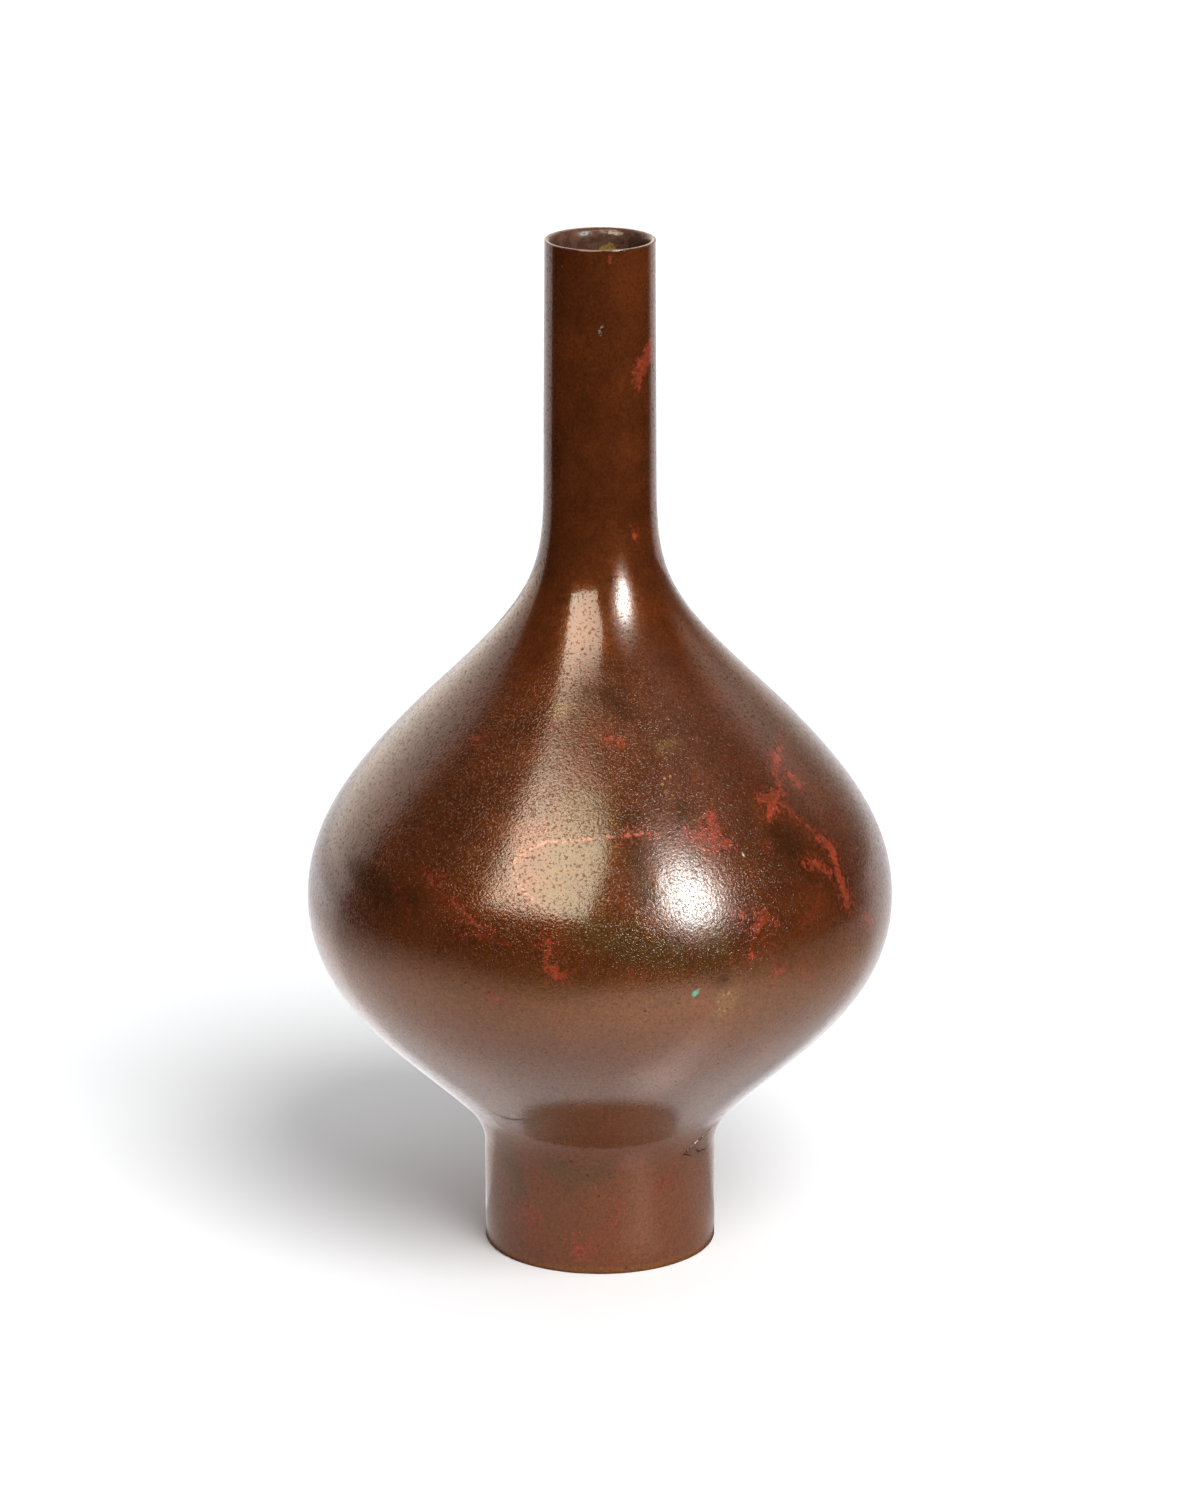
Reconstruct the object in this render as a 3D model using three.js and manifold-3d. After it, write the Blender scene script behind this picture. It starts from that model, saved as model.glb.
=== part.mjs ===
// A bronze bottle vase: a straight neck and an onion-shaped body over an upright foot.
// It is cast hollow in three sections, which are lapped and brazed together. A base plate is let in from
// below, and round plugs fill the holes that the core's supports left in the wall.
// Lengths are in millimetres and +Z is up. The origin is the centre of the foot's underside.

import * as THREE from 'three';
import { mergeVertices } from 'three/addons/utils/BufferGeometryUtils.js';
import Module from 'manifold-3d';

const { degToRad, mapLinear } = THREE.MathUtils;

// Heights, each measured from the end of the one before, from the table up.
const footUpright = 29.9; // upright band of the foot
const footFlare = 12.9; // hollow curve from the foot out into the bowl
const bowlRise = 62.9; // from the flare to the widest place
const crownRise = 63.1; // from the widest place to where the shoulder turns hollow
const shoulderRise = 64.7; // from there to the root of the neck
const neckRise = 66.5; // from the root of the neck to the lip

// Outside radii and slopes.
const footRadius = 33.8;
const flareRun = 5.9; // how far the flare leads outwards
const bellyRadius = 85;
const shoulderRadius = 46.4; // where the shoulder turns hollow
const neckRootRadius = 16.2;
const lipRadius = 15.8;
const bowlSlope = degToRad(46); // of the bowl where it leaves the flare
const shoulderSlope = degToRad(44.4); // of the shoulder where it turns hollow

// How long each end of a curve keeps its direction, as shares of that curve's own rise.
const flareHold = { start: 0.36, end: 0.29 };
const bowlHold = { start: 0.43, end: 0.44 };
const crownHold = { start: 0.295, end: 0.65 };
const shoulderHold = { start: 0.625, end: 0.46 };

// Walls and edges.
const castWall = 3.2; // body and foot
const neckWall = 2.3;
const lipRounding = 0.6;
const footBevel = 0.6;

// Joints between the sections.
const footJointRise = 9.7; // foot joint above the top of the flare
const brazeThickness = 0.3; // filler metal between two faces
const spigotLength = 6; // of the neck tube inside the body's collar
const spigotEndGap = 0.3;
const centringLipHeight = 2; // of the foot's lip inside the body's lower edge
const jointClearance = 0.15; // radial, round the spigot and the centring lip

// Base plate, let in from below against a ledge.
const plateRecess = 5; // from the table to the plate's underside
const plateThickness = 3;
const plateClearance = 0.2; // radial
const ledgeWidth = 1.8;
const ledgeThickness = 2.5;
const filletLeg = 1.6; // of the filler metal in the corner under the plate

// Core plugs, in a ring above the widest place and one below it. Bearings turn from the front to the right.
const plugRadius = 3;
const plugClearance = 0.2; // radial
const plugRings = [
  { name: 'upper_core_plug', count: 3, aboveBelly: 50, bearing: degToRad(20) },
  { name: 'lower_core_plug', count: 3, aboveBelly: -7, bearing: degToRad(25) },
];

// Fineness of the round forms. The sides repeat every 5 degrees, as the plugs' bearings do.
const latheSides = 72;
const plugSides = 20;
const outsideSteps = { flare: 5, bowl: 9, crown: 9, shoulder: 9 };
const insideSteps = { flare: 4, bowl: 6, crown: 6, shoulder: 6 };
const roundingSteps = 3;

const patinatedBronze = new THREE.MeshStandardMaterial({ color: 0x5a2f1b, roughness: 0.3, metalness: 0.7 });
const baseBronze = new THREE.MeshStandardMaterial({ color: 0x4a3322, roughness: 0.6, metalness: 0.7 });
const brazeMetal = new THREE.MeshStandardMaterial({ color: 0x6f4a2a, roughness: 0.5, metalness: 0.8 });
const plugBronze = new THREE.MeshStandardMaterial({ color: 0x6a3a20, roughness: 0.35, metalness: 0.7 });

// Heights above the table.
const flareTop = footUpright + footFlare;
const bellyHeight = flareTop + bowlRise;
const turnHeight = bellyHeight + crownRise;
const neckRoot = turnHeight + shoulderRise;
const lipTop = neckRoot + neckRise;
const footJoint = flareTop + footJointRise;
const bodyBottom = footJoint + brazeThickness;
const neckSeat = neckRoot + brazeThickness;
const plateTop = plateRecess + plateThickness;

// An outline is a list of points that hold a radius and a height.
const at = (radius, height) => new THREE.Vector2(radius, height);

// A smooth curve that leaves one point in a direction and reaches the next in another.
function sweep(from, leaving, to, reaching, hold) {
  const rise = to.y - from.y;
  const first = from.clone().addScaledVector(leaving, hold.start * rise);
  const second = to.clone().addScaledVector(reaching, -hold.end * rise);
  return new THREE.CubicBezierCurve(from, first, second, to);
}

const up = at(0, 1);
const alongBowl = at(Math.cos(bowlSlope), Math.sin(bowlSlope));
const alongShoulder = at(-Math.cos(shoulderSlope), Math.sin(shoulderSlope));
const flareEnd = at(footRadius + flareRun, flareTop);
const belly = at(bellyRadius, bellyHeight);
const turn = at(shoulderRadius, turnHeight);
const root = at(neckRootRadius, neckRoot);
const bodyCurves = {
  flare: sweep(at(footRadius, footUpright), up, flareEnd, alongBowl, flareHold),
  bowl: sweep(flareEnd, alongBowl, belly, up, bowlHold),
  crown: sweep(belly, up, turn, alongShoulder, crownHold),
  shoulder: sweep(turn, alongShoulder, root, up, shoulderHold),
};

// The outline of foot and body, moved inwards by a depth that is measured square to it.
function castOutline(steps, depth) {
  const points = [at(footRadius - depth, 0)];
  for (const [name, curve] of Object.entries(bodyCurves)) {
    const first = curve === bodyCurves.flare ? 0 : 1;
    for (let i = first; i <= steps[name]; i++) {
      const place = curve.getPoint(i / steps[name]);
      const along = curve.getTangent(i / steps[name]);
      points.push(at(place.x - along.y * depth, place.y + along.x * depth));
    }
  }
  return points;
}

function radiusAt(outline, height) {
  const next = outline.findIndex((point) => point.y >= height);
  const low = outline[Math.max(next - 1, 0)];
  const high = outline[next];
  return high.y > low.y ? mapLinear(height, low.y, high.y, low.x, high.x) : high.x;
}

// The height at which an outline first gets as wide as a radius, on its way up from the foot.
function heightAt(outline, radius) {
  const next = outline.findIndex((point) => point.x >= radius);
  const [low, high] = [outline[next - 1], outline[next]];
  return mapLinear(radius, low.x, high.x, low.y, high.y);
}

// The stretch of an outline from one height up to another.
function stretch(outline, low, high) {
  const between = outline.filter((point) => point.y > low && point.y < high);
  return [at(radiusAt(outline, low), low), ...between, at(radiusAt(outline, high), high)];
}

// Points on a quarter circle round a centre, from one angle on by a quarter turn.
function rounding(centre, radius, start) {
  const points = [];
  for (let i = 0; i <= roundingSteps; i++) {
    const angle = start + (i / roundingSteps) * (Math.PI / 2);
    points.push(at(centre.x + radius * Math.cos(angle), centre.y + radius * Math.sin(angle)));
  }
  return points;
}

const outside = [...castOutline(outsideSteps, 0), at(lipRadius, lipTop)];
const inside = castOutline(insideSteps, castWall);

// A ring turned from a closed outline that runs up its outside and down its inside.
function turned(outline, seat = 0) {
  const points = [...outline, outline[0]].map((point) => at(point.x, point.y - seat));
  return new THREE.LatheGeometry(points, latheSides).rotateX(Math.PI / 2);
}

function piece(name, geometry, material, seat = 0) {
  const mesh = new THREE.Mesh(geometry, material);
  mesh.name = name;
  mesh.position.z = seat;
  return mesh;
}

const wasm = await Module();
wasm.setup();

function solidFrom(geometry) {
  const bare = geometry.clone();
  bare.deleteAttribute('normal');
  bare.deleteAttribute('uv');
  const merged = mergeVertices(bare);
  return new wasm.Manifold(
    new wasm.Mesh({
      numProp: 3,
      vertProperties: new Float32Array(merged.attributes.position.array),
      triVerts: new Uint32Array(merged.index.array),
    }),
  );
}

function geometryFrom(solid) {
  const mesh = solid.getMesh();
  const geometry = new THREE.BufferGeometry();
  geometry.setAttribute('position', new THREE.BufferAttribute(mesh.vertProperties, mesh.numProp));
  geometry.setIndex(new THREE.BufferAttribute(mesh.triVerts, 1));
  geometry.computeVertexNormals();
  return geometry;
}

// Half of the neck's wall goes down into the body's collar as a spigot.
const spigotRadius = neckRootRadius - neckWall / 2;
const collarBore = spigotRadius + jointClearance;
const spigotBottom = neckRoot - spigotLength;

function neckTube() {
  const rimOutside = at(lipRadius - lipRounding, lipTop - lipRounding);
  const rimInside = at(lipRadius - neckWall + lipRounding, lipTop - lipRounding);
  return turned(
    [
      at(spigotRadius, spigotBottom),
      at(spigotRadius, neckSeat),
      at(radiusAt(outside, neckSeat), neckSeat),
      ...rounding(rimOutside, lipRounding, 0),
      ...rounding(rimInside, lipRounding, Math.PI / 2),
      at(neckRootRadius - neckWall, neckSeat),
      at(neckRootRadius - neckWall, spigotBottom),
    ],
    neckSeat,
  );
}

function neckBraze() {
  return turned(
    [
      at(radiusAt(outside, neckRoot), neckRoot),
      at(radiusAt(outside, neckSeat), neckSeat),
      at(collarBore, neckSeat),
      at(collarBore, neckRoot),
    ],
    neckRoot,
  );
}

// The foot's centring lip is the inner half of its wall, carried up past the joint.
const lipInside = radiusAt(inside, footJoint);
const centringRadius = lipInside + castWall / 2;
const bodyMouth = centringRadius + jointClearance;

function bodyShell() {
  const collarFloor = spigotBottom - spigotEndGap;
  const bore = stretch(inside, heightAt(inside, bodyMouth), collarFloor);
  return turned([
    at(bodyMouth, bodyBottom),
    ...stretch(outside, bodyBottom, neckRoot),
    at(collarBore, neckRoot),
    at(collarBore, collarFloor),
    ...bore.reverse(),
  ]);
}

function footBraze() {
  return turned(
    [
      at(radiusAt(outside, footJoint), footJoint),
      at(radiusAt(outside, bodyBottom), bodyBottom),
      at(bodyMouth, bodyBottom),
      at(bodyMouth, footJoint),
    ],
    footJoint,
  );
}

const footBore = footRadius - castWall;
const ledgeRadius = footBore - ledgeWidth;

function flaredFoot() {
  const ledgeTop = plateTop + ledgeThickness;
  const lipLevel = bodyBottom + centringLipHeight;
  const bore = stretch(inside, ledgeTop + ledgeWidth, footJoint);
  return turned([
    at(footRadius - footBevel, 0),
    at(footRadius, footBevel),
    ...stretch(outside, footUpright, footJoint),
    at(centringRadius, footJoint),
    at(centringRadius, lipLevel),
    at(lipInside, lipLevel),
    ...bore.reverse(),
    at(ledgeRadius, ledgeTop),
    at(ledgeRadius, plateTop),
    at(footBore, plateTop),
    at(footBore, footBevel),
    at(footBore + footBevel, 0),
  ]);
}

function basePlate() {
  const plateRadius = footBore - plateClearance;
  return new THREE.CylinderGeometry(plateRadius, plateRadius, plateThickness, latheSides)
    .rotateX(Math.PI / 2)
    .translate(0, 0, plateThickness / 2);
}

function baseFillet() {
  return turned(
    [
      at(footBore, plateRecess - filletLeg),
      at(footBore, plateRecess),
      at(footBore - filletLeg, plateRecess),
    ],
    plateRecess,
  );
}

// A cylinder through the front of the wall at a height, square to the surface there.
function throughWall(height, radius) {
  const [above, below] = [height + radius, height - radius];
  const lean = Math.atan2(radiusAt(outside, above) - radiusAt(outside, below), above - below);
  return new THREE.CylinderGeometry(radius, radius, 4 * castWall, plugSides)
    .rotateX(Math.PI + lean)
    .translate(0, -radiusAt(outside, height), height);
}

// Each plug is cut from the wall itself, so that its ends are flush, and is turned to its bearing by a group.
const vase = new THREE.Group();
const wholeShell = solidFrom(bodyShell());
let shell = wholeShell;

for (const ring of plugRings) {
  const height = bellyHeight + ring.aboveBelly;
  const plug = geometryFrom(wholeShell.intersect(solidFrom(throughWall(height, plugRadius))));
  const hole = throughWall(height, plugRadius + plugClearance);
  for (let i = 0; i < ring.count; i++) {
    const bearing = ring.bearing + (i / ring.count) * 2 * Math.PI;
    const place = new THREE.Group();
    place.rotation.z = bearing;
    place.add(piece(`${ring.name}_${i + 1}`, plug, plugBronze));
    vase.add(place);
    shell = shell.subtract(solidFrom(hole.clone().rotateZ(bearing)));
  }
}

vase.add(
  piece('neck_tube', neckTube(), patinatedBronze, neckSeat),
  piece('neck_braze_ring', neckBraze(), brazeMetal, neckRoot),
  piece('body_shell', geometryFrom(shell), patinatedBronze),
  piece('foot_braze_ring', footBraze(), brazeMetal, footJoint),
  piece('flared_foot', flaredFoot(), patinatedBronze),
  piece('base_plate', basePlate(), baseBronze, plateRecess),
  piece('base_braze_fillet', baseFillet(), brazeMetal, plateRecess),
);

export default vase;
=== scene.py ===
from functools import partial
from math import cos, hypot, pi, radians, sin, tan
import bmesh
import bpy
import numpy as np
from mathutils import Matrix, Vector


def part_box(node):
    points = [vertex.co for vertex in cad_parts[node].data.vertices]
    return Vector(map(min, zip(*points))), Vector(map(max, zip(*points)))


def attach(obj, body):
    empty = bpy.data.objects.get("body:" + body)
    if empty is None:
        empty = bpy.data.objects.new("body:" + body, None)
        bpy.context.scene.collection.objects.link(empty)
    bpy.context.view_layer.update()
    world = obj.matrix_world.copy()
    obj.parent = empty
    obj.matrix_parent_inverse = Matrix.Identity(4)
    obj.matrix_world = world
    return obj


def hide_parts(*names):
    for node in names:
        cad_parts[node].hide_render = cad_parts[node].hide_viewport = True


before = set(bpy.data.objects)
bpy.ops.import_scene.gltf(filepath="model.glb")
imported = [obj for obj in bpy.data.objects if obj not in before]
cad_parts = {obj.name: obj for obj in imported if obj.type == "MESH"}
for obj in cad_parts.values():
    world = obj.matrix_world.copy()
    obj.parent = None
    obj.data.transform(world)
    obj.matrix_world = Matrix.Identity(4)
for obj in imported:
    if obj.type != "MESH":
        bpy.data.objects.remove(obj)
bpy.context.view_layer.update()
mm = 0.001
scene = bpy.context.scene
scene.view_settings.view_transform = "Standard"
print("frame loaded:", len(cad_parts), "nodes")


def addObject(name, data):
    made = bpy.data.objects.new(name, data)
    scene.collection.objects.link(made)
    return made


# camera: straight in front, a little above the vase, through a long lens
cameraView = {"back": 1.7385, "up": 0.6807, "tiltDown": 17.0, "lens": 150.95, "sensor": 36.0}


def addCamera(view):
    data = bpy.data.cameras.new("camera")
    data.lens = view["lens"]
    data.sensor_width = view["sensor"]
    camera = addObject("camera", data)
    camera.location = (0, -view["back"], view["up"])
    camera.rotation_euler = (radians(90 - view["tiltDown"]), 0, 0)
    scene.camera = camera


addCamera(cameraView)


# short ways to make shader nodes
def addNode(tree, kind, inputs=None, **settings):
    made = tree.nodes.new(kind)
    for key, value in settings.items():
        setattr(made, key, value)
    for key, value in (inputs or {}).items():
        if isinstance(value, bpy.types.NodeSocket):
            tree.links.new(value, made.inputs[key])
        else:
            made.inputs[key].default_value = value
    return made


def calc(tree, operation, a, b=None):
    inputs = {0: a} if b is None else {0: a, 1: b}
    return addNode(tree, "ShaderNodeMath", inputs, operation=operation).outputs[0]


def multiply(tree, a, b):
    return calc(tree, "MULTIPLY", a, b)


def add(tree, a, b):
    return calc(tree, "ADD", a, b)


def fade(tree, value, low, high, start=0.0, end=1.0):
    inputs = {"Value": value, "From Min": low, "From Max": high, "To Min": start, "To Max": end}
    return addNode(tree, "ShaderNodeMapRange", inputs, interpolation_type="SMOOTHSTEP").outputs["Result"]


def blendColour(tree, factor, a, b, kind="MIX"):
    inputs = {"Factor": factor, 6: a, 7: b}
    return addNode(tree, "ShaderNodeMix", inputs, data_type="RGBA", blend_type=kind).outputs[2]


# size is the width of a blotch in metres
def noise(tree, place, size, detail=3.0, rough=0.55, twist=0.0):
    inputs = {"Vector": place, "Scale": 1 / size, "Detail": detail, "Roughness": rough, "Distortion": twist}
    return addNode(tree, "ShaderNodeTexNoise", inputs).outputs["Fac"]


# stands is how high the bumps rise in metres
def bumpNormal(tree, bumps, stands):
    inputs = {"Height": bumps, "Distance": stands, "Strength": 1.0}
    return addNode(tree, "ShaderNodeBump", inputs).outputs[0]


def newMaterial(name):
    material = bpy.data.materials.new(name)
    material.use_nodes = True
    material.node_tree.nodes.clear()
    return material, material.node_tree


def grey(level):
    return (level, level, level, 1)


# studio: white walls behind, a dark room in front and lighter air above, which the gloss shows
room = {
    "dark": 0.012, "ambient": (0.01, 0.71), "lean": (0.75, 0.45, 0.48), "warm": (1.0, 0.95, 0.89),
    "leftWall": {"from": -113, "to": -120, "level": 1.15},
    "leftRise": {"from": -122, "to": -142, "level": 0.42},
    "leftFall": {"from": 10, "to": 42, "level": 0.78},
    "rightWall": {"from": 114, "to": 136, "level": 0.12},
    "rightRise": {"from": 132, "to": 174, "level": 0.84},
    "ceiling": {"from": 62, "to": 80, "colour": (0.6, 0.58, 0.42)},
    "rightAir": {"from": 40, "to": 80, "low": 34, "high": 62, "level": 0.5},
    "rightGlow": {"from": 108, "to": 136, "low": 12, "high": 32, "level": 1.1},
}


def wallLevel(tree, bearing, elevation):
    level, fall = room["dark"], room["leftFall"]
    higher = fade(tree, elevation, radians(fall["from"]), radians(fall["to"]), 1.0, fall["level"])
    for part in ("leftWall", "leftRise", "rightWall", "rightRise"):
        wall = room[part]
        span = radians(wall["from"]), radians(wall["to"])
        share = fade(tree, bearing, *span, 0.0, wall["level"])
        if part.startswith("left"):
            share = multiply(tree, share, higher)
        level = add(tree, level, share)
    return level


def bearingOf(tree, place):
    axes = addNode(tree, "ShaderNodeSeparateXYZ", {0: place}).outputs
    return calc(tree, "ARCTAN2", axes["X"], multiply(tree, axes["Y"], -1.0)), axes


def addWorld():
    world = bpy.data.worlds.new("studio")
    scene.world = world
    world.use_nodes = True
    tree = world.node_tree
    tree.nodes.clear()
    bearing, axes = bearingOf(tree, addNode(tree, "ShaderNodeTexCoord").outputs["Generated"])
    elevation = calc(tree, "ARCSINE", axes["Z"])
    level, top = wallLevel(tree, bearing, elevation), room["ceiling"]
    for part in ("rightAir", "rightGlow"):
        air = room[part]
        beside = fade(tree, bearing, radians(air["from"]), radians(air["to"]), 0.0, air["level"])
        above = fade(tree, elevation, radians(air["low"]), radians(air["high"]))
        level = add(tree, level, multiply(tree, beside, above))
    share = fade(tree, elevation, radians(top["from"]), radians(top["to"]))
    walls = blendColour(tree, 1.0, level, (*room["warm"], 1), "MULTIPLY")
    shade = blendColour(tree, share, walls, (*top["colour"], 1))
    ray = addNode(tree, "ShaderNodeLightPath").outputs
    aside, behind, above = (multiply(tree, axes[axis], amount)
                            for axis, amount in zip("XYZ", room["lean"]))
    leaning = add(tree, above, add(tree, aside, behind))
    ambient = fade(tree, leaning, -1.0, 1.0, *room["ambient"])
    shade = blendColour(tree, ray["Is Diffuse Ray"], shade, ambient)
    shade = blendColour(tree, ray["Is Camera Ray"], shade, grey(1.0))
    studio = addNode(tree, "ShaderNodeBackground", {"Color": shade})
    addNode(tree, "ShaderNodeOutputWorld", {"Surface": studio.outputs[0]})


# the white board under the vase; dims and contact are from, to and a level, behind is in bearings
board = {
    "left": -0.66, "right": 0.66, "front": -0.4, "soft": 0.08, "reach": 3.0,
    "leftBehind": (-113, -119), "rightBehind": (114, 132),
    "paper": (0.963, 0.97, 0.98), "leftDim": (-0.12, -0.45, 0.4), "rightDim": (0.12, 0.5, 0.65),
    "seen": (0.9, 0.88, 0.92), "plain": 0.38, "contact": (0.0345, 0.037, 0.1),
}
# pools of light and shade that the gloss sees on the board: across, away, radius and level
pools = [(-0.15, 0.0, 0.34, 1.05), (0.12, -0.23, 0.30, 1.35), (0.15, 0.03, 0.2, 0.4), (-0.3, -0.2, 0.3, 0.3),
         (0.0, 0.02, 0.1, -0.4), (-0.09, 0.15, 0.15, -0.4), (0.03, -0.052, 0.026, 0.9),
         (0.05, -0.074, 0.032, 0.9), (0.072, -0.096, 0.036, 0.6),
         (-0.066, 0.045, 0.07, -0.5), (0.066, 0.05, 0.06, -0.4), (-0.46, 0.42, 0.22, 0.6)]


def lengthOf(tree, x, y):
    return calc(tree, "SQRT", add(tree, multiply(tree, x, x), multiply(tree, y, y)))


def distanceTo(tree, axes, across, ahead):
    return lengthOf(tree, calc(tree, "SUBTRACT", axes["X"], across), calc(tree, "SUBTRACT", axes["Y"], ahead))


def addFloor(board):
    reach = board["reach"]
    mesh = bpy.data.meshes.new("floor")
    mesh.from_pydata([(-reach, -reach, 0), (reach, -reach, 0), (reach, reach, 0), (-reach, reach, 0)], [],
                     [(0, 1, 2, 3)])
    floor = addObject("floor", mesh)
    material, tree = newMaterial("white board")
    bearing, axes = bearingOf(tree, addNode(tree, "ShaderNodeNewGeometry").outputs["Position"])
    soft = board["soft"]
    left = fade(tree, axes["X"], board["left"] - soft, board["left"] + soft)
    right = fade(tree, axes["X"], board["right"] + soft, board["right"] - soft)
    front = fade(tree, axes["Y"], board["front"] - soft, board["front"] + soft)
    shown = multiply(tree, multiply(tree, left, right), front)
    behind = add(tree, *(fade(tree, bearing, *np.radians(board[span]).tolist())
                         for span in ("leftBehind", "rightBehind")))
    shown = calc(tree, "MAXIMUM", shown, behind)
    ray = addNode(tree, "ShaderNodeLightPath").outputs
    level = board["plain"]
    for across, ahead, radius, amount in pools:
        away = distanceTo(tree, axes, across, ahead)
        level = add(tree, level, fade(tree, away, radius, 0.0, 0.0, amount))
    level = add(tree, level, multiply(tree, behind, 1.0 - board["plain"]))
    # it sees no light in the gap under the foot's rounded edge
    nearest, clear, least = board["contact"]
    gap = fade(tree, distanceTo(tree, axes, 0, 0), nearest, clear, least, 1.0)
    level = multiply(tree, level, gap)
    seen = blendColour(tree, shown, grey(room["dark"]), (*board["seen"], 1))
    glow = addNode(tree, "ShaderNodeEmission", {"Color": seen, "Strength": level}).outputs[0]
    # the paper is less lit towards its sides, which only the light that it throws back shows
    dim = multiply(tree, *(fade(tree, axes["X"], low, high, 1.0, share)
                           for low, high, share in (board["leftDim"], board["rightDim"])))
    dimmed = blendColour(tree, 1.0, (*board["paper"], 1), dim, "MULTIPLY")
    tone = blendColour(tree, ray["Is Diffuse Ray"], (*board["paper"], 1), dimmed)
    paper = addNode(tree, "ShaderNodeBsdfDiffuse", {"Color": tone}).outputs[0]
    both = addNode(tree, "ShaderNodeMixShader", {0: ray["Is Glossy Ray"], 1: paper, 2: glow}).outputs[0]
    addNode(tree, "ShaderNodeOutputMaterial", {"Surface": both})
    mesh.materials.append(material)


# lamps: bearings turn from the front to the right, in degrees
keyLamp = {"bearing": 29, "elevation": 44, "spread": 37, "power": 2.92, "colour": (1.0, 1.0, 1.0)}
fillLamp = {"bearing": -25, "elevation": 49, "spread": 47, "power": 0.3, "colour": (1.0, 1.0, 1.0)}
# what the gloss shows of them: a tall softbox, which dims towards its top, and a round white dish
softbox = {"away": 4.0, "glow": 9.0, "colour": (0.92, 0.93, 0.75), "columns": 16, "leftGain": 1.35,
           "rows": [(27, -48, -5, 1.1), (38, -50, -3, 1.0), (48, -53, 2, 1.0), (55, -56, 4, 1.0),
                    (61, -59, 2, 0.9), (65, -62, 0, 0.7), (69, -65, -2, 0.2), (72, -67, -3, 0.0)]}
dish = {"bearing": 40, "elevation": 31.5, "wide": 25, "tall": 39, "away": 4.0, "glow": 40.0,
        "colour": (0.76, 0.98, 1.02), "turns": 40,
        "rings": [(0.0, 1.0), (0.35, 1.0), (0.6, 0.72), (0.8, 0.32), (1.0, 0.1), (1.35, 0.03), (1.7, 0.0)]}
aim = Vector((0, 0, 0.15))


def direction(bearing, elevation):
    b, e = radians(bearing), radians(elevation)
    return Vector((sin(b) * cos(e), -cos(b) * cos(e), sin(e)))


def addLamp(name, lamp):
    data = bpy.data.lights.new(name, "SUN")
    data.angle = radians(lamp["spread"])
    data.energy = lamp["power"]
    data.color = lamp["colour"]
    sun = addObject(name, data)
    sun.rotation_euler = direction(lamp["bearing"], lamp["elevation"]).to_track_quat("Z", "Y").to_euler()
    sun.visible_glossy = False


# rows of points, each with its share of the glow; the gloss sees them and nothing else does
def addReflected(name, light, rows, closed):
    mesh = bpy.data.meshes.new(name)
    width = len(rows[0])
    faces = []
    for row in range(len(rows) - 1):
        for k in range(width if closed else width - 1):
            a, b = row * width + k, row * width + (k + 1) % width
            faces.append((a, b, b + width, a + width))
    mesh.from_pydata([place for row in rows for place, share in row], [], faces)
    shares = [share for row in rows for place, share in row]
    mesh.attributes.new("share", "FLOAT", "POINT").data.foreach_set("value", shares)
    material, tree = newMaterial(name)
    share = addNode(tree, "ShaderNodeAttribute", attribute_name="share").outputs["Fac"]
    strength = multiply(tree, share, light["glow"])
    glow = {"Color": (*light["colour"], 1), "Strength": strength}
    lit = addNode(tree, "ShaderNodeEmission", glow).outputs[0]
    clear = addNode(tree, "ShaderNodeBsdfTransparent").outputs[0]
    both = addNode(tree, "ShaderNodeAddShader", {0: lit, 1: clear}).outputs[0]
    addNode(tree, "ShaderNodeOutputMaterial", {"Surface": both})
    mesh.materials.append(material)
    panel = addObject(name, mesh)
    panel.visible_camera = False
    panel.visible_diffuse = False
    panel.visible_shadow = False


def addSoftbox(softbox):
    rows = []
    for elevation, left, right, share in softbox["rows"]:
        bearings = np.linspace(left, right, softbox["columns"])
        shares = np.linspace(share * softbox["leftGain"], share, softbox["columns"])
        rows.append([(aim + direction(bearing, elevation) * softbox["away"], dim)
                     for bearing, dim in zip(bearings, shares)])
    addReflected("softbox", softbox, rows, False)


def addDish(dish):
    toward = direction(dish["bearing"], dish["elevation"])
    turned = toward.to_track_quat("Z", "Y")
    wide, tall = (dish["away"] * tan(radians(dish[side] / 2)) for side in ("wide", "tall"))
    rows = []
    for out, share in dish["rings"]:
        row = []
        for k in range(dish["turns"]):
            turn = 2 * pi * k / dish["turns"]
            offset = Vector((out * wide * cos(turn), out * tall * sin(turn), 0))
            row.append((aim + toward * dish["away"] + turned @ offset, share))
        rows.append(row)
    addReflected("dish", dish, rows, True)


addWorld()
addFloor(board)
addLamp("key", keyLamp)
addLamp("fill", fillLamp)
addSoftbox(softbox)
addDish(dish)
print("studio set")

# the vase's outline in millimetres, as the cast pieces have it
form = {
    "footUpright": 29.9, "footFlare": 12.9, "bowlRise": 62.9, "crownRise": 63.1,
    "footRadius": 33.8, "flareRun": 5.9, "shoulderRadius": 46.4, "neckRootRadius": 16.2, "lipRadius": 15.8,
    "bowlSlope": 46.0, "shoulderSlope": 44.4, "castWall": 3.2, "neckWall": 2.3,
    "flareHold": (0.36, 0.29), "bowlHold": (0.43, 0.44),
    "crownHold": (0.295, 0.65), "shoulderHold": (0.625, 0.46),
}


def heightsOf(node):
    low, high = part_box(node)
    return low.z / mm, high.z / mm


def radiusOf(node):
    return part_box(node)[1].x / mm


spigotBottom, lipTop = heightsOf("neck_tube")
neckRoot, neckSeat = heightsOf("neck_braze_ring")
footJoint, bodyBottom = heightsOf("foot_braze_ring")
plateLow, plateTop = heightsOf("base_plate")
bellyHeight = form["footUpright"] + form["footFlare"] + form["bowlRise"]


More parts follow.
